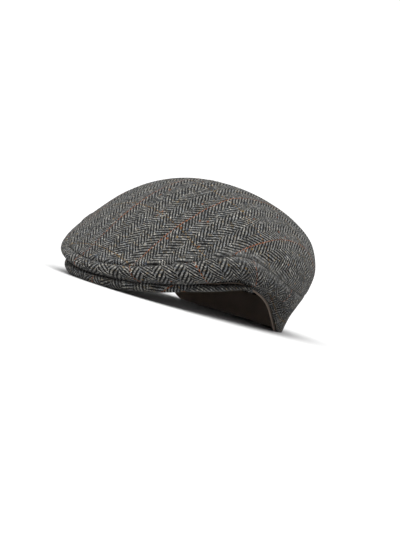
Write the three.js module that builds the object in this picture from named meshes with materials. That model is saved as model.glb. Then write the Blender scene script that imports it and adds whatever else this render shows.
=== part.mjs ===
// A soft tweed flat cap, in millimetres, +Z up, standing on its peak and the back of its rim.
// The peak points to -Y and the wearer's left is +X. Angles run from the front towards the wearer's left.
// The crown is one cloth surface given by upright half sections. Each section goes from the rim up into a
// tuck, down and out to the hanging fold, out to the bulge, up to the crown seam and over the dome.
// The sections stand as the cap is worn. The finished cap is tilted and lifted onto the floor.

import * as THREE from 'three';

// Head opening
const RIM_LENGTH = 203;
const RIM_WIDTH = 166;

// Cloth and sewing
const CLOTH = 2;
const SEAM_GAP = 0.3;

// How the cap stands: the nape is raised by the tilt, in degrees, until peak and rim both touch the floor
const REST_TILT = 4.88;
const REST_LIFT = 4.9;

// Half sections of the crown: radius and height of every bend, then how steeply the dome starts above the
// seam (smaller is steeper) and how far it swells out over it.
const SECTION_COLUMNS = ['angle', 'rim_z', 'tuck_r', 'tuck_z', 'hang_r', 'hang_z', 'bulge_r', 'bulge_z',
  'seam_r', 'seam_z', 'steepness', 'swell'];
const SECTIONS = [
  [0, 24, 116, 21, 134, 16, 140, 20.5, 136, 27, 1.1, 0],
  [20, 24, 112, 23.5, 130, 18.5, 137, 24, 132.5, 31.5, 1.1, 0],
  [40, 26, 103, 30, 120, 25.5, 127.5, 33, 122.5, 44.5, 1.1, 0],
  [60, 30, 92, 40, 107.5, 35.5, 115.5, 46, 113.5, 59, 0.92, 1],
  [70, 33, 88.5, 46, 103.5, 40, 112, 48, 112, 60, 0.81, 2.2],
  [80, 33, 87, 44, 102, 35.5, 110.5, 44, 111, 54.5, 0.72, 3.5],
  [105, 19.5, 90, 27, 103, 25, 108, 29.5, 110, 36, 0.56, 6.5],
  [130, -10, 93, 0, 97, 9, 101.5, 19, 106, 30, 0.46, 9],
  [155, -13, 98, -4, 101, 7, 106, 19, 111, 30, 0.46, 9],
  [180, -14, 102, -5, 104, 7, 108.5, 19, 114, 30, 0.46, 9],
];
const CROWN_TOP = 116.8;
const DOME_ROUNDNESS = 2.1;
const DOME_STEPS = [0.03, 0.12, 0.3, 0.55, 0.8, 1];
const SEAM_KNOT = 4;
const DOME_TOP = SEAM_KNOT + DOME_STEPS.length;
const INWARDS = [-1, 0];

// Peak: how far it reaches out from the rim and the top of its outer edge, at a few angles
const PEAK_REACH = 36;
const PEAK_COLUMNS = ['angle', 'reach', 'edge_z'];
const PEAK_EDGES = [
  [0, PEAK_REACH, 15.5],
  [20, 33.5, 18.5],
  [40, 26, 24.5],
  [60, 14, 29],
  [80, 6, 33],
  [90, 2, 33],
  [180, 2, 33],
];
const PEAK_HALF_ANGLE = 88;
const PEAK_THICK = 9;
const PEAK_ROOT_THICK = 4;
const PEAK_CLEARANCE = 1.5;
const PEAK_LEVELLING = 1.6;
const LIP_SAMPLES = 60;
const LIP_REACH = 3;

// Sweatband
const BAND_THICK = 1.2;
const BAND_HEIGHT = 28;
const BAND_DROP = 1.4;
const BAND_LEAN = 2.5;

// Small steps that give the direction square to the cloth
const PROBE_ANGLE = 0.5;
const PROBE_STEP = 0.01;

// Facets
const TOP_STEPS = { around: 72, up: 12 };
const SIDE_STEPS = { around: 72, up: 18 };
const PEAK_STEPS = { around: 36, out: 8 };
const BAND_STEPS = { around: 72, up: 3 };

const TWEED = { color: 0x6b6a68, roughness: 0.95, metalness: 0 };
const TAUPE = { color: 0x6a5a50, roughness: 0.7, metalness: 0 };

const radians = (angle) => angle * Math.PI / 180;

// Cubic with end slopes m0 and m1 over a step s from 0 to 1.
function hermite(p0, p1, m0, m1, s) {
  const r = 1 - s;
  return (1 + 2 * s) * r * r * p0 + s * r * r * m0 + s * s * (3 - 2 * s) * p1 - s * s * r * m1;
}

// Smooth value of one table column at an angle. The table covers 0 to 180 and is mirrored beyond.
function lookUp(rows, columns, name, angle) {
  const k = columns.indexOf(name);
  const turned = Math.abs(((angle + 540) % 360) - 180);
  const last = rows.length - 1;
  const rowAngle = (i) => (i < 0 ? -rows[-i][0] : i > last ? 360 - rows[2 * last - i][0] : rows[i][0]);
  const rowValue = (i) => rows[i < 0 ? -i : i > last ? 2 * last - i : i][k];
  let i = 0;
  while (i < last - 1 && rows[i + 1][0] <= turned) {
    i += 1;
  }
  const slope = (j) => (rowValue(j + 1) - rowValue(j - 1)) / (rowAngle(j + 1) - rowAngle(j - 1));
  const width = rowAngle(i + 1) - rowAngle(i);
  const s = (turned - rowAngle(i)) / width;
  return hermite(rowValue(i), rowValue(i + 1), slope(i) * width, slope(i + 1) * width, s);
}

const section = (name, angle) => lookUp(SECTIONS, SECTION_COLUMNS, name, angle);

// Radius of the oval head opening.
function rimRadius(angle) {
  const a = RIM_LENGTH / 2;
  const b = RIM_WIDTH / 2;
  return a * b / Math.hypot(b * Math.cos(radians(angle)), a * Math.sin(radians(angle)));
}

// Bends of one half section as radius and height, from the rim to the crown's top.
function sectionKnots(angle) {
  const knots = [[rimRadius(angle), section('rim_z', angle)]];
  for (const bend of ['tuck', 'hang', 'bulge', 'seam']) {
    knots.push([section(bend + '_r', angle), section(bend + '_z', angle)]);
  }
  const [seamR, seamZ] = knots[SEAM_KNOT];
  const steepness = section('steepness', angle);
  const swell = section('swell', angle);
  for (const step of DOME_STEPS) {
    const rise = (1 - (1 - step) ** DOME_ROUNDNESS) ** steepness;
    knots.push([seamR * (1 - step) + swell * Math.sin(Math.PI * rise), seamZ + (CROWN_TOP - seamZ) * rise]);
  }
  return knots;
}

// Point of the smooth curve through the bends, t counting the bends. It runs inwards and level at the top.
function alongSection(knots, t) {
  const chord = (i) => Math.hypot(knots[i + 1][0] - knots[i][0], knots[i + 1][1] - knots[i][1]);
  const direction = (i, axis) => (knots[i + 1][axis] - knots[i][axis]) / chord(i);
  const last = knots.length - 1;
  const slope = (i, axis) => {
    if (i === 0) {
      return direction(0, axis);
    }
    if (i === last) {
      return INWARDS[axis];
    }
    const share = chord(i) / (chord(i) + chord(i - 1));
    return direction(i - 1, axis) * share + direction(i, axis) * (1 - share);
  };
  const i = Math.min(Math.floor(t), last - 1);
  const length = chord(i);
  return [0, 1].map((axis) => hermite(knots[i][axis], knots[i + 1][axis],
    slope(i, axis) * length, slope(i + 1, axis) * length, t - i));
}

const atAngle = (angle, r, z) => new THREE.Vector3(
  Math.sin(radians(angle)) * r, -Math.cos(radians(angle)) * r, z);

// Middle of the cloth at an angle and a place t along the section.
function crown(angle, t) {
  const [r, z] = alongSection(sectionKnots(angle), t);
  return atAngle(angle, r, z);
}

// Outward direction square to the cloth.
function crownNormal(angle, t) {
  if (t > DOME_TOP - PROBE_STEP) {
    return new THREE.Vector3(0, 0, 1);
  }
  const turn = crown(angle + PROBE_ANGLE, t).sub(crown(angle - PROBE_ANGLE, t));
  const low = Math.max(t - PROBE_STEP, 0);
  const rise = crown(angle, t + PROBE_STEP).sub(crown(angle, low));
  return turn.cross(rise).normalize();
}

// Both faces of the cloth at one place.
function clothFaces(angle, t) {
  const middle = crown(angle, t);
  const half = crownNormal(angle, t).multiplyScalar(CLOTH / 2);
  return [middle.clone().add(half), middle.clone().sub(half)];
}

// A point of the worn cap as the cap stands on the floor. Cloth that would lie below the floor is
// flattened onto it.
function stand(point) {
  const turned = point.clone().applyAxisAngle(new THREE.Vector3(1, 0, 0), radians(REST_TILT));
  turned.z = Math.max(turned.z + REST_LIFT, 0);
  return turned;
}

// Closed body from a grid of point pairs, each an outer and an inner point.
// A ring joins its last column to its first. A pole gathers the last row into one pair.
function closedSheet(pairs, { ring = false, pole = false } = {}) {
  const columns = pairs.length;
  const rows = pairs[0].length;
  const positions = [];
  const index = [[], []];
  for (const side of [0, 1]) {
    for (let i = 0; i < columns; i += 1) {
      index[side].push([]);
      for (let j = 0; j < rows; j += 1) {
        if (pole && j === rows - 1 && i > 0) {
          index[side][i].push(index[side][0][j]);
          continue;
        }
        index[side][i].push(positions.length / 3);
        positions.push(...pairs[i][j][side].toArray());
      }
    }
  }
  const triangles = [];
  const quad = (a, b, c, d) => {
    for (const corner of [[a, b, c], [a, c, d]]) {
      if (new Set(corner).size === 3) {
        triangles.push(...corner);
      }
    }
  };
  const [outer, inner] = index;
  const spans = ring ? columns : columns - 1;
  for (let i = 0; i < spans; i += 1) {
    const n = (i + 1) % columns;
    for (let j = 0; j < rows - 1; j += 1) {
      quad(outer[i][j], outer[n][j], outer[n][j + 1], outer[i][j + 1]);
      quad(inner[i][j], inner[i][j + 1], inner[n][j + 1], inner[n][j]);
    }
    quad(outer[i][0], inner[i][0], inner[n][0], outer[n][0]);
    if (!pole) {
      const e = rows - 1;
      quad(outer[i][e], outer[n][e], inner[n][e], inner[i][e]);
    }
  }
  if (!ring) {
    const e = columns - 1;
    for (let j = 0; j < rows - 1; j += 1) {
      quad(outer[0][j], outer[0][j + 1], inner[0][j + 1], inner[0][j]);
      quad(outer[e][j], inner[e][j], inner[e][j + 1], outer[e][j + 1]);
    }
  }
  const geometry = new THREE.BufferGeometry();
  geometry.setAttribute('position', new THREE.Float32BufferAttribute(positions, 3));
  geometry.setIndex(triangles);
  geometry.computeVertexNormals();
  return geometry;
}

// Grid of standing pairs from two lists of parameters.
const gridOf = (us, vs, pairAt) => us.map((u) => vs.map((v) => pairAt(u, v).map(stand)));

// Evenly spaced values, both ends included.
const spread = (from, to, steps) => Array.from({ length: steps + 1 }, (_, i) => from + (to - from) * i / steps);

// Share of a section step that half the seam gap takes up at one angle.
function gapShare(angle, knot) {
  const knots = sectionKnots(angle);
  return SEAM_GAP / 2 / Math.hypot(knots[knot + 1][0] - knots[knot][0], knots[knot + 1][1] - knots[knot][1]);
}

function topPanel() {
  const angles = spread(0, 360, TOP_STEPS.around).slice(0, -1);
  const shares = spread(0, 1, TOP_STEPS.up);
  return closedSheet(gridOf(angles, shares, (angle, share) => {
    const start = SEAM_KNOT + gapShare(angle, SEAM_KNOT);
    return clothFaces(angle, start + (DOME_TOP - start) * share);
  }), { ring: true, pole: true });
}

// One strip from the nape round the front and back to the nape, where its ends meet.
function sidePanel() {
  const gapAngle = SEAM_GAP / 2 / section('bulge_r', 180) * 180 / Math.PI;
  const angles = spread(gapAngle - 180, 180 - gapAngle, SIDE_STEPS.around);
  const shares = spread(0, 1, SIDE_STEPS.up);
  return closedSheet(gridOf(angles, shares, (angle, share) => {
    const end = SEAM_KNOT - gapShare(angle, SEAM_KNOT - 1);
    return clothFaces(angle, end * share);
  }));
}

// Lowest cloth of the front lip near a radius, or a great height where no cloth hangs over it.
function lipUnderside(angle, r) {
  const nearby = spread(0, SEAM_KNOT - 1, LIP_SAMPLES).flatMap((t) => clothFaces(angle, t))
    .filter((point) => Math.abs(Math.hypot(point.x, point.y) - r) < LIP_REACH);
  return Math.min(...nearby.map((point) => point.z), CROWN_TOP);
}

// Top and bottom of the peak at an angle and a share of the way out, arched from the rim to its edge
// and kept clear of the lip that rests on it.
function peakFaces(angle, share) {
  const reach = lookUp(PEAK_EDGES, PEAK_COLUMNS, 'reach', angle);
  const r = rimRadius(angle) + SEAM_GAP + reach * share;
  const rootZ = section('rim_z', angle) - PEAK_CLEARANCE;
  const edgeZ = lookUp(PEAK_EDGES, PEAK_COLUMNS, 'edge_z', angle);
  const fall = 1 - (1 - share) ** PEAK_LEVELLING;
  const topZ = Math.min(rootZ + (edgeZ - rootZ) * fall, lipUnderside(angle, r) - SEAM_GAP);
  const thick = PEAK_ROOT_THICK + (PEAK_THICK - PEAK_ROOT_THICK) * fall * reach / PEAK_REACH;
  return [atAngle(angle, r, topZ), atAngle(angle, r, topZ - thick)];
}

function peak() {
  const angles = spread(-PEAK_HALF_ANGLE, PEAK_HALF_ANGLE, PEAK_STEPS.around);
  const shares = spread(0, 1, PEAK_STEPS.out).reverse();
  return closedSheet(gridOf(angles, shares, peakFaces));
}

// Outer and inner face of the sweatband, standing just inside the rim.
function bandFaces(angle, share) {
  const inward = CLOTH / 2 * Math.abs(crownNormal(angle, 0).setZ(0).length());
  const r = rimRadius(angle) - inward - SEAM_GAP - BAND_LEAN * share;
  const z = section('rim_z', angle) - BAND_DROP + BAND_HEIGHT * share;
  return [atAngle(angle, r, z), atAngle(angle, r - BAND_THICK, z)];
}

function sweatband() {
  const angles = spread(0, 360, BAND_STEPS.around).slice(0, -1);
  const shares = spread(0, 1, BAND_STEPS.up);
  return closedSheet(gridOf(angles, shares, bandFaces), { ring: true });
}

const cap = new THREE.Group();
cap.name = 'flat_cap';

const pieces = [
  ['top_panel', topPanel(), TWEED],
  ['side_panel', sidePanel(), TWEED],
  ['peak', peak(), TWEED],
  ['sweatband', sweatband(), TAUPE],
];

const box = new THREE.Box3();
for (const [, geometry] of pieces) {
  geometry.computeBoundingBox();
  box.union(geometry.boundingBox);
}
const middle = box.getCenter(new THREE.Vector3());

for (const [name, geometry, look] of pieces) {
  geometry.translate(-middle.x, -middle.y, -box.min.z);
  const mesh = new THREE.Mesh(geometry, new THREE.MeshStandardMaterial(look));
  mesh.name = name;
  cap.add(mesh);
}

export default cap;
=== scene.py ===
"""The looks of a soft flat cap in grey herringbone tweed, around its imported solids."""

import math

import bpy
import numpy as np
from bpy.props import FloatProperty, FloatVectorProperty, PointerProperty
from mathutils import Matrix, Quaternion, Vector


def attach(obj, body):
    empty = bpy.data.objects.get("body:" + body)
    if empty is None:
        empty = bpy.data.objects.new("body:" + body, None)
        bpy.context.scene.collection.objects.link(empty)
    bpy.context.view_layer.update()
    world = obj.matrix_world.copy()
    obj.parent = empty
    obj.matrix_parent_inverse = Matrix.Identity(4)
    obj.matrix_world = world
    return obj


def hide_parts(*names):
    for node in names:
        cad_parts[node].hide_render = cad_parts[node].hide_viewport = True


bl_info = {
    "name": "Herringbone Flat Cap",
    "version": (1, 0, 0),
    "blender": (4, 5, 0),
    "location": "View3D > Sidebar > Flat Cap",
    "description": "Sews a tweed flat cap over its solids and sets it on a studio floor",
    "category": "Object",
}

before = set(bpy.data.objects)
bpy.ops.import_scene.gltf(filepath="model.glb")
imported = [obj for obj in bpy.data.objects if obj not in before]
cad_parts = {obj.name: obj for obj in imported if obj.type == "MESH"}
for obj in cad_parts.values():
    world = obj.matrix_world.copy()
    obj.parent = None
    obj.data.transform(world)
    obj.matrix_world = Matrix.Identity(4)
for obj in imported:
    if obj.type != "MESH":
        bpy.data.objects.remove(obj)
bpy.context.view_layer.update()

# Sizes are in metres. Angles run from the front, -Y, towards the wearer's left, +X, in degrees.
# The rim is an oval, and two panels leave a gap at their seam.
RIM_LENGTH = 0.203
RIM_WIDTH = 0.166
SEAM_GAP = 0.00015

# How the worn cap stands: its tilt in degrees, its lift, and the rim's middle behind the cap's middle.
REST_TILT = 4.88
REST_LIFT = 0.0049
RIM_CENTRE_Y = 0.01406

# Half sections of the crown: radius and height of every bend, then how steeply the dome starts above the
# seam (smaller is steeper) and how far it swells out over it.
SECTION_COLUMNS = ("angle", "rim_z", "tuck_r", "tuck_z", "hang_r", "hang_z", "bulge_r", "bulge_z",
                   "seam_r", "seam_z", "steepness", "swell")
SECTIONS = np.array((
    (0, 0.024, 0.116, 0.021, 0.134, 0.016, 0.140, 0.0205, 0.136, 0.027, 1.1, 0.0),
    (20, 0.024, 0.112, 0.0235, 0.130, 0.0185, 0.137, 0.024, 0.1325, 0.0315, 1.1, 0.0),
    (40, 0.026, 0.103, 0.030, 0.120, 0.0255, 0.1275, 0.033, 0.1225, 0.0445, 1.1, 0.0),
    (60, 0.030, 0.092, 0.040, 0.1075, 0.0355, 0.1155, 0.046, 0.1135, 0.059, 0.92, 0.001),
    (70, 0.033, 0.0885, 0.046, 0.1035, 0.040, 0.112, 0.048, 0.112, 0.060, 0.81, 0.0022),
    (80, 0.033, 0.087, 0.044, 0.102, 0.0355, 0.1105, 0.044, 0.111, 0.0545, 0.72, 0.0035),
    (105, 0.0195, 0.090, 0.027, 0.103, 0.025, 0.108, 0.0295, 0.110, 0.036, 0.56, 0.0065),
    (130, -0.010, 0.093, 0.000, 0.097, 0.009, 0.1015, 0.019, 0.106, 0.030, 0.46, 0.009),
    (155, -0.013, 0.098, -0.004, 0.101, 0.007, 0.106, 0.019, 0.111, 0.030, 0.46, 0.009),
    (180, -0.014, 0.102, -0.005, 0.104, 0.007, 0.1085, 0.019, 0.114, 0.030, 0.46, 0.009),
))
BENDS = ("tuck", "hang", "bulge", "seam")

# The dome: the height of its top, its roundness and its steps from the seam to the top, the numbers of the
# bends at its seam and its top, counted from the rim, and the way that the sections run at the top.
CROWN_TOP = 0.1168
DOME_ROUNDNESS = 2.1
DOME_STEPS = (0.03, 0.12, 0.3, 0.55, 0.8, 1.0)
SEAM_KNOT = len(BENDS)
DOME_TOP = SEAM_KNOT + len(DOME_STEPS)
INWARDS = (-1.0, 0.0)

# Soft dents and swellings of the cloth: angle, place along the section, how far they spread in both,
# and their height.
FOLDS = (
    (73, 4.9, 9, 0.8, -0.0016),
    (-66, 4.8, 10, 0.8, -0.0012),
    (88, 5.6, 11, 0.9, 0.0011),
    (30, 6.6, 26, 0.7, 0.0010),
    (-35, 6.9, 30, 0.8, 0.0010),
    (100, 7.2, 24, 0.9, -0.0010),
    (-110, 6.8, 26, 0.9, -0.0012),
    (150, 6.4, 20, 0.8, 0.0010),
    (-160, 6.6, 22, 0.8, 0.0010),
    (62, 3.1, 8, 0.5, 0.0008),
    (96, 2.7, 8, 0.6, -0.0010),
    (112, 2.2, 9, 0.7, 0.0012),
    (-84, 2.8, 9, 0.6, 0.0010),
    (-104, 2.6, 9, 0.6, -0.0010),
    (128, 1.4, 9, 0.6, -0.0010),
    (-132, 1.4, 9, 0.6, -0.0010),
)

# Puckers beside a seam: their pitch, depth and reach, and the slow swing of their places, in radians and in
# pitches.
PUCKER_PITCH = 0.013
PUCKER_DEPTH = 0.0002
PUCKER_REACH = 0.006
PUCKER_SWING = 1.3
PUCKER_SWING_PITCHES = 3.7

# Small unevenness of the soft cloth: the seed of its draws, how many bells it has, their height, and their
# half widths in angle and place.
UNEVEN_SEED = 4
UNEVEN_BELLS = 260
UNEVEN_HEIGHT = 0.00035
UNEVEN_ANGLE = (3.0, 9.0)
UNEVEN_PLACE = (0.15, 0.5)

# How the top's cloth hangs: how much it draws together where it bends down, from the front to the nape, how
# much more of it is gathered in at the back, between which places of the grain, and how far its weft bows
# back, per metre.
GRAIN_DRAW = np.array(((0, 0.75), (80, 0.75), (140, 0.3), (180, 0.3)))
GATHER = 0.12
GATHER_FROM, GATHER_TO = -0.04, 0.05
WEFT_BOW = 0.8

# How the side's strip is cut: how far its warp leans back on its way down, from the front to the nape, and
# how much longer its cloth is than the seam that it is eased onto.
STRIP_LEAN = np.array((
    (0, 0.0), (15, 0.55), (30, 0.7), (75, 0.7), (95, 0.45), (120, 0.12), (150, 0.0), (180, 0.0),
))
STRIP_EASE = 1.037

# Share of the seam's hollow and ridge that shows, from the front to the nape.
SEAM_SHOWS = np.array(((0, 1.0), (50, 1.0), (75, 0.5), (100, 0.3), (180, 0.35)))

# Painted highlight along the seam's fold: how much of it shows, from the front to the nape, and its half
# width.
PAINTED_HIGHLIGHT_NAME = "nap"
PAINTED_HIGHLIGHT_SHOWS = np.array(((0, 0.1), (50, 0.15), (68, 0.6), (95, 0.55), (115, 0.35), (180, 0.2)))
PAINTED_HIGHLIGHT_WIDTH = 0.006

# Peak: how far it reaches out from the rim and the top of its outer edge, at a few angles.
PEAK_REACH = 0.036
PEAK_COLUMNS = ("angle", "reach", "edge_z")
PEAK_EDGES = np.array((
    (0, PEAK_REACH, 0.0155),
    (20, 0.0335, 0.0185),
    (40, 0.026, 0.0245),
    (60, 0.014, 0.029),
    (80, 0.006, 0.033),
    (90, 0.002, 0.033),
    (180, 0.002, 0.033),
))

# Then the angle of its ends and the share of it that has close rows there, its thickness at the edge and at
# the root, how far the root lies below the rim, how soon it levels out, the round of its edge, and its gap to
# the strip.
PEAK_HALF_ANGLE = 88.0
PEAK_END_SHARE = 0.004
PEAK_THICK = 0.009
PEAK_ROOT_THICK = 0.004
PEAK_CLEARANCE = 0.0015
PEAK_LEVELLING = 1.6
PEAK_EDGE_ROUND = 0.0045
PEAK_GAP = 0.0003

# Places along the lip's section at which its underside is sought, and how near to a radius they have to be.
LIP_SAMPLES = 60
LIP_REACH = 0.003

# Sweatband: its gap to the rim's cloth, its thickness and height, how far it drops below the rim and how far
# it leans in, and the place along the section up to which the rim's slant is read.
BAND_GAP = 0.0007
BAND_THICK = 0.0012
BAND_HEIGHT = 0.028
BAND_DROP = 0.0014
BAND_LEAN = 0.0025
RIM_PROBE = 0.02

# Grids: spans around and rows across, the extra rows that round an edge off, and the samples from which even
# rows are worked out, along the section and around.
TOP_GRID = (320, 88)
SIDE_GRID = (400, 96)
PEAK_GRID = (160, 56)
BAND_GRID = (320, 22)
EDGE_ROWS = 6
PLACE_SAMPLES = 400
PLACE_ANGLES = 73

# Weave: yarns in a column of the herringbone, in a pane, in one repeat of the twill and in one float, the
# share of a yarn's height that is left at the ends of a float, and how far the yarns stray, each as cells per
# metre and width in yarns.
UV_NAME = "weave"
COLUMN_YARNS = 10
PANE_YARNS = 60
TWILL_YARNS = 4
FLOAT_YARNS = 2
FLOAT_ENDS = 0.2
STRAYS = ((60.0, 1.6), (300.0, 0.9), (800.0, 0.4))

# Numbers of yarns are whole, so they are told apart half a step away.
HALF_STEP = 0.5

# Where a rust line lies across the cloth of each piece, how much of the rust and ochre yarns shows, and how
# much the rust fades in places.
PANE_STARTS = {"top_panel": 0.0505, "side_panel": 0.0474, "peak": 0.012}
RUST_SHOWS = 0.8
RUST_FADES = 1.8
OCHRE_SHOWS = 0.75

# Unevenness of the wool, in cells per metre, and how far along the cloth the turned sheet of noise is moved.
FIBRE_CELLS = 2600.0
HEATHER_CELLS = 160.0
CLUMP_CELLS = 420.0
FADING_CELLS = 75.0
TURNED_SHIFT = 3.1

# Stretches of yarn that keep one shade or tint, in yarns, and the places from which their chances are drawn.
SHADE_STRETCH = 3.0
TINT_STRETCH = 4.0
WARP_DRAW, WEFT_DRAW, TINT_DRAW = 7.0, 19.0, 31.0

# Painted highlight along the seam's fold: its mean, how uneven it is, how far it hides the yarns' height, and
# its own height.
PAINTED_HIGHLIGHT_MEAN = 0.75
PAINTED_HIGHLIGHT_HEATHER = 1.6
PAINTED_HIGHLIGHT_CLUMP = 1.4
PAINTED_HIGHLIGHT_FLATTENS = 0.6
PAINTED_HIGHLIGHT_HEIGHT = 0.38

# Shade of the tweed: painted shade in the hollows between the yarns and what the yarns' height adds to it,
# then the wool's own uneven tone that each unevenness adds.
PAINTED_SHADE_HOLLOW = 0.40
PAINTED_SHADE_HEIGHT = 0.78
SHADE_FIBRE = 0.5
SHADE_HEATHER = 0.9
SHADE_CLUMP = 0.8

# Finish of the tweed, with its relief as a share of the yarn and that of its fibres as a share of the relief.
TWEED_SURFACE = {"Sheen Roughness": 0.45, "Specular IOR Level": 0.05}
TWEED_ROUGHNESS = 0.92
TWEED_RELIEF = 0.35
FIBRE_RELIEF = 0.35

# Tints of single stretches of weft yarn, with the chance at which each begins: plain, bluish, cream, ochre
# and white.
TINT_STOPS = (
    (0.0, (1.0, 1.0, 1.0)),
    (0.52, (0.88, 0.94, 1.02)),
    (0.70, (1.30, 1.27, 1.18)),
    (0.89, (1.10, 0.93, 0.70)),
    (0.93, (1.9, 1.87, 1.78)),
)

# Neps: how much of them shows, their least radius in spacings, and their colours, rust, ochre, bluish and
# cream, with the chance at which each begins.
NEP_SHOWS = 0.8
NEP_RADIUS = 0.14
NEP_STOPS = (
    (0.0, (0.17, 0.052, 0.013)),
    (0.28, (0.17, 0.11, 0.04)),
    (0.58, (0.046, 0.057, 0.080)),
    (0.78, (0.24, 0.235, 0.215)),
)

# Finish of the ribbon: cells of its wear per metre, cross threads to a rib, heights of both, painted shade in
# the hollows between the ribs and what height adds to it, the tone that its wear adds, roughness and what
# wear adds to it, and its relief as a share of the rib.
RIBBON_SURFACE = {"Sheen Weight": 0.15, "Sheen Roughness": 0.4, "Specular IOR Level": 0.35}
RIBBON_WEAR_CELLS = 60.0
RIB_THREADS = 2.0
RIB_HEIGHT, THREAD_HEIGHT = 0.8, 0.2
RIBBON_PAINTED_SHADE_HOLLOW, RIBBON_PAINTED_SHADE_HEIGHT, RIBBON_WEAR = 0.62, 0.42, 0.35
RIBBON_ROUGHNESS, RIBBON_ROUGHENING = 0.62, 0.2
RIBBON_RELIEF = 0.3

# Sockets of a Mix node for colours.
MIX_FACTOR, MIX_A, MIX_B, MIX_RESULT = 0, 6, 7, 2

# Studio: a level floor, just below the cap, that sweeps up into a round backdrop.
FLOOR_RADIUS = 2.4
FLOOR_SWEEP = 5.0
FLOOR_SPANS = 96
FLOOR_ARC_ROWS = 33
FLOOR_BELOW = 0.0002


def hermite(p0, p1, m0, m1, s):
    """Cubic from p0 to p1 with end slopes m0 and m1, as s goes from 0 to 1."""
    r = 1 - s
    return (1 + 2 * s) * r * r * p0 + s * r * r * m0 + s * s * (3 - 2 * s) * p1 - s * s * r * m1


def look_up(table, column, angle):
    """One column of a table as a smooth function of the angle: a cubic between rows, whose slope at a
    row is that from the row before to the row after. The table covers 0 to 180 and is mirrored beyond."""
    turned = np.abs((angle + 540.0) % 360.0 - 180.0)
    x = np.concatenate(([-table[1, 0]], table[:, 0], [360.0 - table[-2, 0]]))
    y = np.concatenate(([table[1, column]], table[:, column], [table[-2, column]]))
    slope = (y[2:] - y[:-2]) / (x[2:] - x[:-2])
    row = np.clip(np.searchsorted(table[:, 0], turned, side="right") - 1, 0, len(table) - 2)
    width = x[row + 2] - x[row + 1]
    s = (turned - x[row + 1]) / width
    return hermite(y[row + 1], y[row + 2], slope[row] * width, slope[row + 1] * width, s)


def rim_radius(angle):
    """Radius of the oval rim: half axes a and b, r = ab / root((b cos)^2 + (a sin)^2)."""
    a, b = RIM_LENGTH / 2, RIM_WIDTH / 2
    turn = np.radians(angle)
    return a * b / np.hypot(b * np.cos(turn), a * np.sin(turn))


def section_knots(angle):
    """Bends of the half sections at some angles, from the rim to the crown's top, as radius and height.
    On the dome the height rises by (1 - (1 - step)^roundness)^steepness, and the radius falls evenly but
    for a swelling by the sine of that rise."""
    value = {name: look_up(SECTIONS, k, angle) for k, name in enumerate(SECTION_COLUMNS)}
    knots = [(rim_radius(angle), value["rim_z"])]
    knots += [(value[bend + "_r"], value[bend + "_z"]) for bend in BENDS]
    for step in DOME_STEPS:
        rise = (1 - (1 - step) ** DOME_ROUNDNESS) ** value["steepness"]
        radius = value["seam_r"] * (1 - step) + value["swell"] * np.sin(np.pi * rise)
        knots.append((radius, value["seam_z"] + (CROWN_TOP - value["seam_z"]) * rise))
    return np.moveaxis(np.array(knots), 2, 0)


def along_section(knots, t):
    """Points of the smooth curves through the bends, t counting the bends: cubics whose slope at a bend
    weighs the two chords beside it by each other's length. They run inwards and level at the top."""
    step = np.diff(knots, axis=1)
    chord = np.linalg.norm(step, axis=2, keepdims=True)
    way = step / chord
    share = chord[:, 1:] / (chord[:, 1:] + chord[:, :-1])
    last = np.broadcast_to(np.array(INWARDS), (len(knots), 1, 2))
    slope = np.concatenate((way[:, :1], way[:, :-1] * share + way[:, 1:] * (1 - share), last), axis=1)
    bend = np.minimum(np.floor(t).astype(int), knots.shape[1] - 2)[..., None]

    def pick(values, shift=0):
        return np.take_along_axis(values, bend + shift, axis=1)

    length = pick(chord)
    return hermite(pick(knots), pick(knots, 1), pick(slope) * length, pick(slope, 1) * length,
                   t[..., None] - bend)


def at_angle(angle, r, z):
    """Points of the worn cap at an angle, a radius from the middle of the rim, and a height."""
    turn = np.radians(angle)
    return np.stack(np.broadcast_arrays(np.sin(turn) * r, -np.cos(turn) * r, z), axis=-1)


def stand(points):
    """Points of the worn cap as it stands: turned about the X axis, lifted and centred. Cloth that would
    lie below the floor is flattened onto it."""
    x, y, z = np.moveaxis(points, -1, 0)
    cos, sin = math.cos(math.radians(REST_TILT)), math.sin(math.radians(REST_TILT))
    height = np.maximum(y * sin + z * cos + REST_LIFT, 0.0)
    return np.stack((x, y * cos - z * sin + RIM_CENTRE_Y, height), axis=-1)


def crown(angle, t):
    """Middle of the crown's cloth on a grid, angle[i] around and t[i, j] along the section."""
    r, z = np.moveaxis(along_section(section_knots(angle), t), 2, 0)
    return at_angle(angle[:, None], r, z)


def grid_normals(points, ring, pole):
    """Directions square to a grid of points: the cross product of the steps along its two parameters."""
    if ring:
        around = np.roll(points, -1, axis=0) - np.roll(points, 1, axis=0)
    else:
        around = np.gradient(points, axis=0)
    normal = np.cross(around, np.gradient(points, axis=1))
    if pole:
        normal[:, -1] = (0.0, 0.0, 1.0)
    return normal / np.linalg.norm(normal, axis=2, keepdims=True)


def way_along(points, axis):
    """Distance walked along one parameter of a grid, from its first row or column."""
    steps = np.linalg.norm(np.diff(points, axis=axis), axis=2)
    first = np.zeros_like(np.take(steps, [0], axis=axis))
    return np.cumsum(np.concatenate((first, steps), axis=axis), axis=axis)


def rounded(distance, radius):
    """Share of a wall's half thickness at a distance from its edge: a quarter circle, then 1."""
    return np.sqrt(1 - (1 - np.clip(distance / radius, 0, 1)) ** 2)


def edge_spread(count, low, high, edge_low=0.0, edge_high=0.0):
    """Even values from low to high with a few more beside an end, spaced as 1 - cos over the edge."""
    quarter = 1 - np.cos(np.linspace(0, np.pi / 2, EDGE_ROWS))
    middle = np.linspace(low + edge_low, high - edge_high, count)
    parts = [middle]
    if edge_low:
        parts.insert(0, low + edge_low * quarter[:-1])
    if edge_high:
        parts.append(high - edge_high * quarter[-2::-1])
    return np.concatenate(parts)


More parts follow.
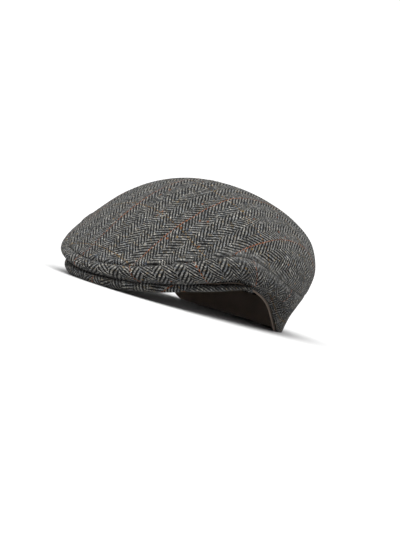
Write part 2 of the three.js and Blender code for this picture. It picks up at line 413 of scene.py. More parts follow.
def even_places(bends, count, gaps, edges):
    """Places t along the sections from one bend to another that lie evenly on their mean length, a gap short
    of each bend and with close rows at the edges."""
    fine = np.linspace(*bends, PLACE_SAMPLES)
    angle = np.linspace(-180, 180, PLACE_ANGLES)
    points = crown(angle, np.broadcast_to(fine, (len(angle), len(fine))))
    walked = way_along(points, 1).mean(axis=0)
    return np.interp(edge_spread(count, gaps[0], walked[-1] - gaps[1], *edges), walked, fine)


def bells(angle, t, rows):
    """Sum of soft bells, a row for each: an angle, a place along the section, the half widths in both, and a
    height that falls by exp(-x^2) in the angle and in the place."""
    total = np.zeros_like(t)
    for at, place, half_angle, half_place, height in rows:
        turn = (angle[:, None] - at + 180) % 360 - 180
        total += height * np.exp(-(turn / half_angle) ** 2 - ((t - place) / half_place) ** 2)
    return total


def uneven_rows():
    """Rows of many small bells, each with a drawn angle, place and half widths, up or down."""
    draws = np.random.default_rng(UNEVEN_SEED)
    limits = ((-180, 180), (0, DOME_TOP), UNEVEN_ANGLE, UNEVEN_PLACE, (-UNEVEN_HEIGHT, UNEVEN_HEIGHT))
    return [[draws.uniform(*limit) for limit in limits] for _ in range(UNEVEN_BELLS)]


def relief(angle, t):
    """Height of the cloth's folds and unevenness, the same for every panel of the crown."""
    return bells(angle, t, FOLDS) + bells(angle, t, uneven_rows())


def seam_pull(distance, along, sizes):
    """How far a seam draws the cloth in: a bell across the seam, with slow puckers beside it."""
    groove = -sizes.seam_depth * np.exp(-(distance / sizes.seam_width) ** 2)
    swing = PUCKER_SWING * np.sin(2 * np.pi * along / (PUCKER_PITCH * PUCKER_SWING_PITCHES))
    pucker = np.sin(2 * np.pi * along / PUCKER_PITCH + swing) * np.exp(-distance / PUCKER_REACH)
    return groove + PUCKER_DEPTH * pucker


def seam_ridge(distance, sizes):
    """Swelling of the top over the turned-in edge beside its seam: a bell one ridge width from the seam."""
    return sizes.ridge * np.exp(-((distance - sizes.ridge_width) / sizes.ridge_width) ** 2)


def seam_painted_highlight(angle, distance):
    """Painted highlight beside the seam: a bell across it, whose height goes by the angle."""
    return look_up(PAINTED_HIGHLIGHT_SHOWS, 1, angle)[:, None] * np.exp(-(distance / PAINTED_HIGHLIGHT_WIDTH) ** 2)


def grain_chart(angle, r, out):
    """The cloth's own coordinates on the dome, from the angle, the plan radius and the distance walked from
    the top. The distance is laid off at the angle. Where the cloth bends down it draws together, from the
    distance towards the plan radius, across the grain at front and back and along it at the sides. More
    cloth is gathered in at the back, and the weft bows back with the square of the way from the middle."""
    turn = np.radians(angle)[:, None]
    drawn = look_up(GRAIN_DRAW, 1, angle)[:, None] * (out - r)
    x = np.sin(turn) * (out - drawn * np.cos(turn) ** 2)
    y = -np.cos(turn) * (out - drawn * np.sin(turn) ** 2)
    share = np.clip((y - GATHER_FROM) / (GATHER_TO - GATHER_FROM), 0, 1)
    gathered = 1 + GATHER * share ** 2 * (3 - 2 * share)
    return np.stack((x * gathered, y - WEFT_BOW * x * x), axis=-1)


def wall(middle, offset, half, ring, pole=False):
    """Both faces of a standing cloth wall: its middle moved by an offset and then by the half thickness,
    square to itself."""
    moved = middle + grid_normals(middle, ring, pole) * offset[..., None]
    step = grid_normals(moved, ring, pole) * half[..., None]
    return stand(moved + step), stand(moved - step)


def closed_wall(name, faces, charts, ring, pole=False, nap=None):
    """Mesh of a wall from the grids of its two faces, which share their edges, the cloth's own coordinates
    on each face and its painted highlight. A ring joins its last column to its first, a pole gathers its
    last row. Each quad is cut from its first corner, which at two ends of an open wall is turned to where
    both faces meet."""
    columns, rows = faces[0].shape[:2]
    count = columns * rows
    outer = np.arange(count).reshape(columns, rows)
    inner = outer + count
    inner[:, 0] = outer[:, 0]
    if pole:
        outer[:, -1] = outer[0, -1]
        inner[:, -1] = inner[0, -1]
    else:
        inner[:, -1] = outer[:, -1]
    if ring:
        outer = np.vstack((outer, outer[:1]))
        inner = np.vstack((inner, inner[:1]))
    else:
        inner[0] = outer[0]
        inner[-1] = outer[-1]
    i, j = np.meshgrid(np.arange(len(outer) - 1), np.arange(rows - 1), indexing="ij")
    corner_i = np.stack((i, i + 1, i + 1, i), axis=-1).reshape(-1, 4)
    corner_j = np.stack((j, j, j + 1, j + 1), axis=-1).reshape(-1, 4)
    if not ring:
        corners = [(columns - 2) * (rows - 1), rows - 2]
        corner_i[corners] = np.roll(corner_i[corners], 1, axis=1)
        corner_j[corners] = np.roll(corner_j[corners], 1, axis=1)
    loops, coordinates, counts = [], [], []
    for numbers, chart, order in ((outer, charts[0], (0, 1, 2, 3)), (inner, charts[1], (0, 3, 2, 1))):
        quads = numbers[corner_i, corner_j]
        keep = np.ones_like(quads, dtype=bool)
        keep[:, 3] = quads[:, 3] != quads[:, 2]
        keep = keep[:, order]
        loops.append(quads[:, order][keep])
        coordinates.append(chart[corner_i, corner_j][:, order][keep])
        counts.append(keep.sum(axis=1))
    points = np.concatenate([face.reshape(-1, 3) for face in faces])
    painted_highlight_at_points = None if nap is None else np.tile(nap.ravel(), len(faces))
    return mesh_object(name, points, np.concatenate(loops), np.concatenate(counts),
                       np.concatenate(coordinates), painted_highlight_at_points)


def mesh_object(name, points, loops, counts, coordinates=None, painted_highlight_at_points=None):
    """Smooth mesh object from points, the corners of its faces in a row, and how many each face has, with
    the cloth's coordinates at the corners and the painted highlight at the points."""
    used, loops = np.unique(loops, return_inverse=True)
    points = points[used]
    mesh = bpy.data.meshes.new(name)
    mesh.vertices.add(len(points))
    mesh.vertices.foreach_set("co", points.astype(np.float32).ravel())
    mesh.loops.add(len(loops))
    mesh.loops.foreach_set("vertex_index", loops.astype(np.int32).ravel())
    mesh.polygons.add(len(counts))
    mesh.polygons.foreach_set("loop_start", (np.cumsum(counts) - counts).astype(np.int32))
    if coordinates is not None:
        layer = mesh.uv_layers.new(name=UV_NAME)
        layer.uv.foreach_set("vector", coordinates.astype(np.float32).ravel())
    if painted_highlight_at_points is not None:
        nap = mesh.attributes.new(PAINTED_HIGHLIGHT_NAME, "FLOAT", "POINT")
        nap.data.foreach_set("value", painted_highlight_at_points[used].astype(np.float32))
    mesh.update(calc_edges=True)
    mesh.validate()
    mesh.shade_smooth()
    piece = bpy.data.objects.new(name, mesh)
    bpy.context.scene.collection.objects.link(piece)
    return piece


def top_panel(sizes):
    """Dome over the seam, from the seam to the top along each section, with a ridge beside the seam."""
    around, up = TOP_GRID
    angle = np.arange(around) * 360.0 / around
    places = even_places((SEAM_KNOT, DOME_TOP), up, (SEAM_GAP / 2, 0.0), (sizes.cloth / 2, 0.0))
    t = np.broadcast_to(places, (around, len(places)))
    middle = crown(angle, t)
    from_seam = way_along(middle, 1) + SEAM_GAP / 2
    from_top = from_seam[:, -1:] - from_seam
    along = way_along(middle[:, :1], 0)
    shows = look_up(SEAM_SHOWS, 1, angle)[:, None]
    offset = shows * (seam_pull(from_seam, along, sizes) + seam_ridge(from_seam, sizes)) + relief(angle, t)
    half = sizes.cloth / 2 * rounded(from_seam - SEAM_GAP / 2, sizes.cloth / 2)
    chart = grain_chart(angle, np.hypot(middle[..., 0], middle[..., 1]), from_top)
    chart = np.concatenate((chart, chart[:1]))
    faces = wall(middle, offset, half, ring=True, pole=True)
    nap = seam_painted_highlight(angle, from_seam)
    return closed_wall("top_panel_cloth", faces, (chart, chart), ring=True, pole=True, nap=nap)


def side_panel(sizes):
    """Strip from the seam down to the rim, joined at the nape. The cloth's coordinates are the distance
    along the seam from the front, less a share of the distance down from the seam by which the warp leans
    back on either side, and that distance down."""
    around, up = SIDE_GRID
    nape_r = look_up(SECTIONS, SECTION_COLUMNS.index("bulge_r"), np.array([180.0]))[0]
    edge = math.degrees(sizes.cloth / 2 / nape_r)
    angle = edge_spread(around, -180.0, 180.0, edge, edge)
    places = even_places((0.0, SEAM_KNOT), up, (0.0, SEAM_GAP / 2), (sizes.cloth / 2, sizes.cloth / 2))
    t = np.broadcast_to(places, (len(angle), len(places)))
    middle = crown(angle, t)
    from_rim = way_along(middle, 1)
    from_seam = from_rim[:, -1:] - from_rim
    along = way_along(middle[:, -1:], 0)
    along -= along[-1] / 2
    from_nape = np.radians(180.0 - np.abs(angle))[:, None] * nape_r
    shows = look_up(SEAM_SHOWS, 1, angle)[:, None]
    offset = shows * seam_pull(from_seam + SEAM_GAP / 2, along, sizes) + relief(angle, t)
    offset += seam_pull(from_nape + SEAM_GAP / 2, from_rim, sizes)
    half = sizes.cloth / 2 * rounded(from_rim, sizes.cloth / 2) * rounded(from_seam, sizes.cloth / 2)
    half *= rounded(from_nape, sizes.cloth / 2)
    lean = (np.sign(angle) * look_up(STRIP_LEAN, 1, angle))[:, None]
    chart = np.stack((STRIP_EASE * (along - lean * from_seam), from_seam), axis=-1)
    faces = wall(middle, offset, half, ring=False)
    nap = seam_painted_highlight(angle, from_seam)
    return closed_wall("side_panel_cloth", faces, (chart, chart), ring=False, nap=nap)


def lip_underside(angle, r, cloth):
    """Lowest cloth of the lip within a short reach of each radius, or the crown's top where there is none."""
    t = np.broadcast_to(np.linspace(0, SEAM_KNOT - 1, LIP_SAMPLES + 1), (len(angle), LIP_SAMPLES + 1))
    lip = crown(angle, t)
    low = lip - np.abs(grid_normals(lip, ring=False, pole=False)) * cloth / 2
    lip_r = np.hypot(lip[..., 0], lip[..., 1])
    near = np.abs(lip_r[:, None, :] - r[:, :, None]) < LIP_REACH
    return np.where(near, low[:, None, :, 2], CROWN_TOP).min(axis=2)


def peak(sizes):
    """Peak arched from the rim to its edge, thicker where it reaches further, with a half circle as its
    outer edge. The cloth's coordinates run out along the top, round the edge and back along the bottom."""
    around, out_rows = PEAK_GRID
    end = PEAK_HALF_ANGLE * PEAK_END_SHARE
    angle = edge_spread(around, -PEAK_HALF_ANGLE, PEAK_HALF_ANGLE, end, end)
    share = edge_spread(out_rows, 0.0, 1.0, PEAK_ROOT_THICK / 2 / PEAK_REACH, PEAK_EDGE_ROUND / PEAK_REACH)
    value = {name: look_up(PEAK_EDGES, k, angle)[:, None] for k, name in enumerate(PEAK_COLUMNS)}
    reach = value["reach"]
    r = rim_radius(angle)[:, None] + PEAK_GAP + reach * share
    root_z = look_up(SECTIONS, SECTION_COLUMNS.index("rim_z"), angle)[:, None] - PEAK_CLEARANCE
    fall = 1 - (1 - share) ** PEAK_LEVELLING
    arch = root_z + (value["edge_z"] - root_z) * fall
    top = np.minimum(arch, lip_underside(angle, r, sizes.cloth) - PEAK_GAP)
    thick = PEAK_ROOT_THICK + (PEAK_THICK - PEAK_ROOT_THICK) * fall * reach / PEAK_REACH
    ends = np.radians(PEAK_HALF_ANGLE - np.abs(angle))[:, None] * r
    half = thick / 2 * rounded(reach * (1 - share), PEAK_EDGE_ROUND)
    half = half * rounded(reach * share, PEAK_ROOT_THICK / 2) * rounded(ends, PEAK_ROOT_THICK / 2)
    level = top - thick / 2
    turn = np.radians(angle)[:, None]
    upper, lower = (at_angle(angle[:, None], r, level + side * half) for side in (1, -1))
    out = r[:, :1] + way_along(upper, 1)
    from_root = way_along(lower, 1)
    back = out[:, -1:] + from_root[:, -1:] - from_root
    faces = [stand(points)[:, ::-1] for points in (upper, lower)]
    charts = [np.stack((walked * np.sin(turn), -walked * np.cos(turn)), axis=-1)[:, ::-1]
              for walked in (out, back)]
    return closed_wall("peak_cover", faces, charts, ring=False)


def sweatband(sizes):
    """Thin band that stands just inside the rim and leans in, with its own length and height as chart."""
    around, up = BAND_GRID
    angle = np.arange(around) * 360.0 / around
    edge = BAND_THICK / 2 / BAND_HEIGHT
    share = edge_spread(up, 0.0, 1.0, edge, edge)[None, :]
    rim = crown(angle, np.broadcast_to((0.0, RIM_PROBE / 2, RIM_PROBE), (around, 3)))
    tilt = np.linalg.norm(grid_normals(rim, ring=True, pole=False)[:, 0, :2], axis=1)
    inset = sizes.cloth / 2 * tilt[:, None] + BAND_GAP + BAND_THICK / 2
    r = rim_radius(angle)[:, None] - inset - BAND_LEAN * share
    rim_z = look_up(SECTIONS, SECTION_COLUMNS.index("rim_z"), angle)[:, None]
    z = rim_z - BAND_DROP + BAND_HEIGHT * share
    middle = at_angle(angle[:, None], r, z)
    height = way_along(middle, 1)
    from_edge = np.minimum(height, height[:, -1:] - height)
    half = BAND_THICK / 2 * rounded(from_edge, BAND_THICK / 2)
    along = way_along(np.concatenate((middle, middle[:1]))[:, :1], 0)
    chart = np.stack(np.broadcast_arrays(along, np.vstack((height, height[:1]))), axis=-1)
    faces = wall(middle, np.zeros_like(height), half, ring=True)
    return closed_wall("sweatband_strip", faces, (chart, chart), ring=True)


class Value:
    """One socket of a node tree. Arithmetic on it adds Math nodes to the tree."""

    def __init__(self, shader, socket):
        self.shader = shader
        self.socket = socket

    def math(self, operation, *others):
        return self.shader.node("ShaderNodeMath", {"operation": operation},
                                dict(enumerate((self, *others))))

    def __add__(self, other):
        return self.math("ADD", other)

    def __sub__(self, other):
        return self.math("SUBTRACT", other)

    def __rsub__(self, other):
        return self.shader.node("ShaderNodeMath", {"operation": "SUBTRACT"}, {0: other, 1: self})

    def __mul__(self, other):
        return self.math("MULTIPLY", other)

    def __truediv__(self, other):
        return self.math("DIVIDE", other)

    def __mod__(self, other):
        return self.math("FLOORED_MODULO", other)

    def __lt__(self, other):
        return self.math("LESS_THAN", other)

    def __gt__(self, other):
        return self.math("GREATER_THAN", other)

    __radd__ = __add__
    __rmul__ = __mul__

    def floor(self):
        return self.math("FLOOR")


class Shader:
    """Node tree of one material, from any node to the finished surface."""

    def __init__(self, name):
        self.material = bpy.data.materials.new(name)
        self.material.use_nodes = True
        self.tree = self.material.node_tree
        self.tree.nodes.clear()

    def node(self, kind, settings=None, sockets=None, output=0):
        """Adds a node: its settings first, a ramp's stops among them, then its sockets' values or links."""
        node = self.tree.nodes.new(kind)
        for key, value in (settings or {}).items():
            if key == "interpolation":
                node.color_ramp.interpolation = value
            elif key == "stops":
                elements = node.color_ramp.elements
                for _ in value[len(elements):]:
                    elements.new(1.0)
                for element, (position, colour) in zip(elements, value):
                    element.position = position
                    element.color = (*colour, 1.0)
            else:
                setattr(node, key, value)
        for key, value in (sockets or {}).items():
            if isinstance(value, Value):
                self.tree.links.new(value.socket, node.inputs[key])
            else:
                node.inputs[key].default_value = value
        return Value(self, node.outputs[output]) if node.outputs else None

    def split(self, vector):
        """The first two parts of a vector."""
        parts = self.node("ShaderNodeSeparateXYZ", sockets={0: vector})
        return parts, Value(self, parts.socket.node.outputs[1])

    def pair(self, x, y):
        """A vector of two numbers."""
        return self.node("ShaderNodeCombineXYZ", sockets={0: x, 1: y})

    def mix(self, factor, a, b, blend="MIX"):
        """Colour a where the factor is 0 and b where it is 1."""
        rgba = [c if isinstance(c, Value) else (*c, 1.0) for c in (a, b)]
        settings = {"data_type": "RGBA", "blend_type": blend}
        sockets = {MIX_FACTOR: factor, MIX_A: rgba[0], MIX_B: rgba[1]}
        return self.node("ShaderNodeMix", settings, sockets, MIX_RESULT)

    def shaded(self, colour, shade):
        """A colour times a shade of grey."""
        grey = self.node("ShaderNodeCombineColor", sockets={0: shade, 1: shade, 2: shade})
        return self.mix(1.0, colour, grey, "MULTIPLY")

    def picked(self, stops, chance):
        """The colour of the last stop that a chance has passed."""
        return self.node("ShaderNodeValToRGB", {"stops": stops, "interpolation": "CONSTANT"}, {0: chance})

    def noise(self, vector, scale, detail=2.0):
        """Soft noise around 0, from about -0.5 to 0.5."""
        settings = {"noise_dimensions": "2D"}
        sockets = {"Vector": vector, "Scale": scale, "Detail": detail}
        return self.node("ShaderNodeTexNoise", settings, sockets) - 0.5

    def chance(self, x, y):
        """Even chance from 0 to 1 for each pair of whole numbers."""
        place = self.pair(x, y)
        return self.node("ShaderNodeTexWhiteNoise", {"noise_dimensions": "2D"}, {"Vector": place})

    def finish(self, surface, colour, roughness, height, depth):
        """Ends in a surface shader with fixed values, and a bump whose depth is in metres."""
        normal = self.node("ShaderNodeBump", sockets={"Strength": 1.0, "Distance": depth, "Height": height})
        sockets = {**surface, "Base Color": colour, "Roughness": roughness, "Normal": normal}
        shade = self.node("ShaderNodeBsdfPrincipled", sockets=sockets)
        self.node("ShaderNodeOutputMaterial", sockets={"Surface": shade})
        return self.material


def tweed(name, look, pane_start):
    """Herringbone tweed, yarn by yarn. Warp yarns are numbered across the cloth and weft yarns along it, by
    whole yarn widths. A warp yarn is on top of two weft yarns and then under two, a step further at the next
    yarn, and each column of the herringbone steps the other way. A rust warp yarn is on top of three. A yarn
    on top is a rounded, slightly bulging ridge."""
    shader = Shader(name)
    cloth = shader.node("ShaderNodeUVMap", {"uv_map": UV_NAME})
    across, along = shader.split(cloth)
    turned = shader.pair(along + TURNED_SHIFT, across)
    yarn_x, yarn_y = (across - pane_start) / look.yarn, along / look.yarn
    for cells, width in STRAYS:
        yarn_x = yarn_x + shader.noise(cloth, cells, detail=1.0) * width
        yarn_y = yarn_y + shader.noise(turned, cells, detail=1.0) * width
    warp_number, weft_number = yarn_x.floor(), yarn_y.floor()
    over_warp, over_weft = yarn_x - warp_number, yarn_y - weft_number
    column = (warp_number / COLUMN_YARNS).floor()
    odd = column % 2.0
    in_column = warp_number - column * COLUMN_YARNS
    stair = in_column + odd * (COLUMN_YARNS + 1.0 - 2.0 * in_column)
    step = (weft_number + stair) % TWILL_YARNS
    rust = (warp_number % PANE_YARNS) < HALF_STEP
    ochre = ((weft_number + look.pane_shift) % PANE_YARNS) < HALF_STEP
    weft_up = step > FLOAT_YARNS - HALF_STEP + rust
    warp_up = 1.0 - weft_up

    def ridge(place):
        centred = place * 2.0 - 1.0
        return 1.0 - centred * centred

    def yarn_height(over_yarn, along_float):
        return ridge(over_yarn) * (FLOAT_ENDS + (1.0 - FLOAT_ENDS) * ridge(along_float))

    warp_float = (step + over_weft) / (FLOAT_YARNS + rust)
    weft_float = (step - FLOAT_YARNS + over_warp + odd * (1.0 - 2.0 * over_warp)) / FLOAT_YARNS
    height = warp_up * yarn_height(over_warp, warp_float) + weft_up * yarn_height(over_weft, weft_float)
    fibre = shader.noise(cloth, FIBRE_CELLS, detail=3.0)
    heather = shader.noise(cloth, HEATHER_CELLS, detail=3.0)
    clump = shader.noise(turned, CLUMP_CELLS)
    fading = shader.noise(turned, FADING_CELLS)
    # Painted highlight along the seam's fold, uneven in strength; it also flattens the yarns' height.
    nap = shader.node("ShaderNodeAttribute", {"attribute_name": PAINTED_HIGHLIGHT_NAME}, output="Fac")
    painted_highlight_share = nap * (PAINTED_HIGHLIGHT_MEAN + heather * PAINTED_HIGHLIGHT_HEATHER + clump * PAINTED_HIGHLIGHT_CLUMP)
    height = height * (1.0 - PAINTED_HIGHLIGHT_FLATTENS * painted_highlight_share) + PAINTED_HIGHLIGHT_HEIGHT * painted_highlight_share

    warp_chance = shader.chance(warp_number, (weft_number / SHADE_STRETCH).floor() + WARP_DRAW)
    weft_chance = shader.chance((warp_number / SHADE_STRETCH).floor(), weft_number + WEFT_DRAW)
    tint_chance = shader.chance((warp_number / TINT_STRETCH).floor() + TINT_DRAW, weft_number)
    warp = shader.mix(warp_chance, look.dark_yarn, look.dark_yarn_2)
    warp = shader.mix(rust * (RUST_SHOWS + fading * RUST_FADES), warp, look.rust_yarn)
    weft = shader.mix(weft_chance, look.light_yarn, look.light_yarn_2)
    weft = shader.mix(1.0, weft, shader.picked(TINT_STOPS, tint_chance), "MULTIPLY")
    weft = shader.mix(ochre * OCHRE_SHOWS, weft, look.ochre_yarn)
    colour = shader.mix(weft_up, warp, weft)
    # Painted highlight: the colour turns lighter along the seam's fold.
    colour = shader.mix(painted_highlight_share, colour, look.painted_highlight_colour)

    neps = {"Vector": cloth, "Scale": 1.0 / look.nep_spacing}
    spot = shader.node("ShaderNodeTexVoronoi", {"voronoi_dimensions": "2D"}, neps)
    first_chance, second_chance = shader.split(Value(shader, spot.socket.node.outputs["Color"]))
    nep = (spot < NEP_RADIUS + first_chance) * (first_chance < look.nep_share)
    colour = shader.mix(nep * NEP_SHOWS, colour, shader.picked(NEP_STOPS, second_chance))

    # Painted shade between the yarns, darker where they lie low, times the wool's own uneven tone.
    shade = PAINTED_SHADE_HOLLOW + PAINTED_SHADE_HEIGHT * height + fibre * SHADE_FIBRE
    shade = shade + heather * SHADE_HEATHER + clump * SHADE_CLUMP
    colour = shader.shaded(colour, shade)
    surface = {**TWEED_SURFACE, "Sheen Weight": look.fuzz}
    bump = height + fibre * FIBRE_RELIEF
    return shader.finish(surface, colour, TWEED_ROUGHNESS, bump, look.yarn * TWEED_RELIEF)


def grosgrain(look):
    """Ribbed ribbon: upright ribs, each a half sine across its width, broken by fine cross threads."""
    shader = Shader("taupe_grosgrain")
    ribbon = shader.node("ShaderNodeUVMap", {"uv_map": UV_NAME})
    along, up = shader.split(ribbon)
    rib = (along * (math.pi / look.rib)).math("SINE").math("ABSOLUTE")
    thread = (up * (math.pi / look.rib * RIB_THREADS)).math("SINE").math("ABSOLUTE")
    wear = shader.noise(ribbon, RIBBON_WEAR_CELLS, detail=3.0)
    height = rib * RIB_HEIGHT + thread * THREAD_HEIGHT
    # Painted shade in the hollows between the ribs, darker where they lie low, with the ribbon's own uneven
    # wear.
    colour = shader.shaded(look.ribbon, RIBBON_PAINTED_SHADE_HOLLOW + RIBBON_PAINTED_SHADE_HEIGHT * height + wear * RIBBON_WEAR)
    roughness = RIBBON_ROUGHNESS + wear * RIBBON_ROUGHENING
    return shader.finish(RIBBON_SURFACE, colour, roughness, height, look.rib * RIBBON_RELIEF)


def dress(piece, node, material):
    """Puts a finished piece on the cap's one body in place of a solid, with that solid's finish."""
    piece.data.materials.append(material)
    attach(piece, "root")
    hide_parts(node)


class CapSizes(bpy.types.PropertyGroup):
    """Sizes of the sewn cloth."""

    cloth: FloatProperty(name="Cloth", description="Thickness of the tweed", default=0.002, min=0.001,
                         unit="LENGTH", precision=4)
    seam_depth: FloatProperty(name="Seam depth", description="How far a seam draws the cloth in",
                              default=0.0013, unit="LENGTH", precision=4)
    seam_width: FloatProperty(name="Seam width", description="Half width of the hollow along a seam",
                              default=0.0022, unit="LENGTH", precision=4)
    ridge: FloatProperty(name="Ridge", description="Height of the swelling over the top's turned-in edge",
                         default=0.0009, unit="LENGTH", precision=4)
    ridge_width: FloatProperty(name="Ridge width", description="Distance of that swelling from the seam",
                               default=0.0032, unit="LENGTH", precision=4)


class TweedLook(bpy.types.PropertyGroup):
    """Yarns and colours of the tweed and of the ribbon inside."""

    yarn: FloatProperty(name="Yarn", description="Width of one yarn", default=0.00102, unit="LENGTH",
                        precision=5)
    dark_yarn: FloatVectorProperty(name="Dark yarn", description="Warp colour", subtype="COLOR",
                                   default=(0.0022, 0.0022, 0.0026))
    dark_yarn_2: FloatVectorProperty(name="Dark yarn 2", description="Warp colour at its lightest",
                                     subtype="COLOR", default=(0.0085, 0.0085, 0.0085))
    light_yarn: FloatVectorProperty(name="Light yarn", description="Weft colour", subtype="COLOR",
                                    default=(0.225, 0.222, 0.213))
    light_yarn_2: FloatVectorProperty(name="Light yarn 2", description="Weft colour at its darkest",
                                      subtype="COLOR", default=(0.068, 0.0675, 0.0655))
    rust_yarn: FloatVectorProperty(name="Rust yarn", description="Pane lines along the warp",
                                   subtype="COLOR", default=(0.20, 0.053, 0.012))
    ochre_yarn: FloatVectorProperty(name="Ochre yarn", description="Pane lines along the weft",
                                    subtype="COLOR", default=(0.20, 0.12, 0.045))
    # Colour of the painted highlight along the seam's fold.
    painted_highlight_colour: FloatVectorProperty(name="Painted highlight", description="Colour of the worn, felted cloth",
                                     subtype="COLOR", default=(0.135, 0.134, 0.129))
    pane_shift: FloatProperty(name="Pane shift", description="Yarns from the chart's middle to a weft line",
                              default=30.0)
    nep_spacing: FloatProperty(name="Nep spacing", description="Mean distance of coloured neps",
                               default=0.006, unit="LENGTH", precision=4)
    nep_share: FloatProperty(name="Nep share", description="Share of the places that hold a nep",
                             default=0.09, subtype="FACTOR")
    fuzz: FloatProperty(name="Fuzz", description="Sheen of the loose wool", default=0.05, subtype="FACTOR")
    ribbon: FloatVectorProperty(name="Ribbon", description="Colour of the sweatband", subtype="COLOR",
                                default=(0.24, 0.18, 0.14))
    rib: FloatProperty(name="Rib", description="Width of one rib of the sweatband", default=0.0009,
                       unit="LENGTH", precision=4)


class StudioSettings(bpy.types.PropertyGroup):
    """Camera, light and floor."""

    azimuth: FloatProperty(name="Azimuth", description="Camera's way round from the front, in degrees",
                           default=46.45)
    elevation: FloatProperty(name="Elevation", description="Camera's rise above the aim, in degrees",
                             default=1.2)
    roll: FloatProperty(name="Roll", description="Turn of the picture, in degrees", default=16.3)
    distance: FloatProperty(name="Distance", description="Camera to the cap's middle", default=1.89,
                            unit="LENGTH")
    lens: FloatProperty(name="Lens", description="Focal length in millimetres", default=133.0)
    aim: FloatVectorProperty(name="Aim", description="Point that the camera looks at", subtype="XYZ",
                             unit="LENGTH", default=(0.0, 0.0, 0.05))
    shift: FloatVectorProperty(name="Shift", description="Slide of the picture, in picture heights",
                               size=2, default=(0.0144, -0.0256))
    floor: FloatVectorProperty(name="Floor", description="Colour of floor and backdrop", subtype="COLOR",
                               default=(0.55, 0.55, 0.55))
    key: FloatProperty(name="Key", description="Strength of the soft light overhead", default=5.0)
    key_turn: FloatVectorProperty(name="Key turn", description="Tilt of the soft light", subtype="EULER",
                                  unit="ROTATION", default=(0.25, 0.18, 0.0))
    softness: FloatProperty(name="Softness", description="Width of the soft light", subtype="ANGLE",
                            default=1.2)
    sky: FloatProperty(name="Sky", description="Strength of the even light", default=0.5)


class CAP_OT_top_panel(bpy.types.Operator):
    """Sews the dome of the crown."""

    bl_idname = "flat_cap.top_panel"
    bl_label = "Top Panel"

    def execute(self, context):
        piece = top_panel(context.scene.cap_sizes)
        dress(piece, "top_panel", tweed("tweed_top", context.scene.tweed_look, PANE_STARTS["top_panel"]))
        return {"FINISHED"}


class CAP_OT_side_panel(bpy.types.Operator):
    """Sews the strip from the seam down to the rim."""

    bl_idname = "flat_cap.side_panel"
    bl_label = "Side Panel"

    def execute(self, context):
        piece = side_panel(context.scene.cap_sizes)
        dress(piece, "side_panel", tweed("tweed_side", context.scene.tweed_look, PANE_STARTS["side_panel"]))
        return {"FINISHED"}


class CAP_OT_peak(bpy.types.Operator):
    """Covers the peak."""

    bl_idname = "flat_cap.peak"
    bl_label = "Peak"

    def execute(self, context):
        piece = peak(context.scene.cap_sizes)
        dress(piece, "peak", tweed("tweed_peak", context.scene.tweed_look, PANE_STARTS["peak"]))
        return {"FINISHED"}


class CAP_OT_sweatband(bpy.types.Operator):
    """Sets the ribbon inside the rim."""

    bl_idname = "flat_cap.sweatband"
    bl_label = "Sweatband"

    def execute(self, context):
        piece = sweatband(context.scene.cap_sizes)
        dress(piece, "sweatband", grosgrain(context.scene.tweed_look))
        return {"FINISHED"}


def studio_bowl():
    """Floor that sweeps up into a round backdrop: level, then a quarter circle, turned round the middle.
    Its underside is clear, so that the cap shows from below."""
    arc = np.linspace(0, np.pi / 2, FLOOR_ARC_ROWS)
    r = np.concatenate(([0.0, FLOOR_RADIUS / 2], FLOOR_RADIUS + FLOOR_SWEEP * np.sin(arc)))
    z = np.concatenate(([0.0, 0.0], FLOOR_SWEEP * (1 - np.cos(arc)))) - FLOOR_BELOW
    turn = np.arange(FLOOR_SPANS) * 2 * np.pi / FLOOR_SPANS
    points = np.stack(np.broadcast_arrays(np.cos(turn)[:, None] * r, np.sin(turn)[:, None] * r, z), axis=-1)
    numbers = np.arange(points.shape[0] * points.shape[1]).reshape(points.shape[:2])
    numbers[:, 0] = 0
    numbers = np.vstack((numbers, numbers[:1]))
    quads = np.stack((numbers[:-1, :-1], numbers[:-1, 1:], numbers[1:, 1:], numbers[1:, :-1]), axis=-1)
    quads = quads.reshape(-1, 4)
    keep = np.ones_like(quads, dtype=bool)
    keep[:, 3] = quads[:, 3] != quads[:, 0]
    return mesh_object("studio_floor", points.reshape(-1, 3), quads[keep], keep.sum(axis=1))


def studio_paper(look):
    """Matt pale paper on the upper side, clear on the lower."""
    shader = Shader("studio_paper")
    paper = shader.node("ShaderNodeBsdfDiffuse", sockets={"Color": (*look.floor, 1.0)})
    clear = shader.node("ShaderNodeBsdfTransparent")
    behind = shader.node("ShaderNodeNewGeometry", output="Backfacing")
    surface = shader.node("ShaderNodeMixShader", sockets={0: behind, 1: paper, 2: clear})
    shader.node("ShaderNodeOutputMaterial", sockets={"Surface": surface})
    return shader.material


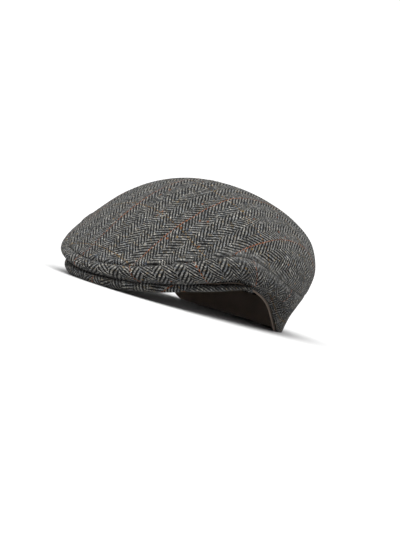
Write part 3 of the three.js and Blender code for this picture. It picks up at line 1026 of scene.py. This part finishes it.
class CAP_OT_studio(bpy.types.Operator):
    """Lays the floor and sets the light and the camera."""

    bl_idname = "flat_cap.studio"
    bl_label = "Studio"

    def execute(self, context):
        scene = context.scene
        look = scene.studio
        floor = studio_bowl()
        floor.data.materials.append(studio_paper(look))

        lamp = bpy.data.lights.new("soft_light", "SUN")
        lamp.energy = look.key
        lamp.angle = look.softness
        key = bpy.data.objects.new("soft_light", lamp)
        key.rotation_euler = look.key_turn
        scene.collection.objects.link(key)

        world = bpy.data.worlds.new("studio_sky")
        world.use_nodes = True
        background = world.node_tree.nodes["Background"]
        background.inputs["Color"].default_value = (1.0, 1.0, 1.0, 1.0)
        background.inputs["Strength"].default_value = look.sky
        scene.world = world
        scene.view_settings.view_transform = "Standard"

        lens = bpy.data.cameras.new("camera")
        lens.lens = look.lens
        lens.shift_x, lens.shift_y = look.shift
        camera = bpy.data.objects.new("camera", lens)
        turn, rise = math.radians(look.azimuth), math.radians(look.elevation)
        back = Vector((math.sin(turn) * math.cos(rise), -math.cos(turn) * math.cos(rise), math.sin(rise)))
        camera.location = Vector(look.aim) + back * look.distance
        camera.rotation_mode = "QUATERNION"
        level = (-back).to_track_quat("-Z", "Y")
        camera.rotation_quaternion = level @ Quaternion((0.0, 0.0, 1.0), math.radians(look.roll))
        scene.collection.objects.link(camera)
        scene.camera = camera
        return {"FINISHED"}


class CAP_PT_sidebar(bpy.types.Panel):
    """Lists the cap's pieces and their settings."""

    bl_label = "Flat Cap"
    bl_idname = "CAP_PT_sidebar"
    bl_space_type = "VIEW_3D"
    bl_region_type = "UI"
    bl_category = "Flat Cap"

    def draw(self, context):
        for operator in OPERATORS:
            self.layout.operator(operator.bl_idname)
        for group in SETTINGS:
            settings = getattr(context.scene, group)
            for name in settings.__annotations__:
                self.layout.prop(settings, name)


OPERATORS = (CAP_OT_studio, CAP_OT_top_panel, CAP_OT_side_panel, CAP_OT_peak, CAP_OT_sweatband)
SETTINGS = {"cap_sizes": CapSizes, "tweed_look": TweedLook, "studio": StudioSettings}
CLASSES = (*SETTINGS.values(), *OPERATORS, CAP_PT_sidebar)


def register():
    for cls in CLASSES:
        bpy.utils.register_class(cls)
    for name, group in SETTINGS.items():
        setattr(bpy.types.Scene, name, PointerProperty(type=group))


def unregister():
    for name in SETTINGS:
        delattr(bpy.types.Scene, name)
    for cls in reversed(CLASSES):
        bpy.utils.unregister_class(cls)


def main():
    register()
    bpy.ops.flat_cap.studio()
    bpy.ops.flat_cap.top_panel()
    bpy.ops.flat_cap.side_panel()
    bpy.ops.flat_cap.peak()
    bpy.ops.flat_cap.sweatband()


if __name__ == "__main__":
    main()
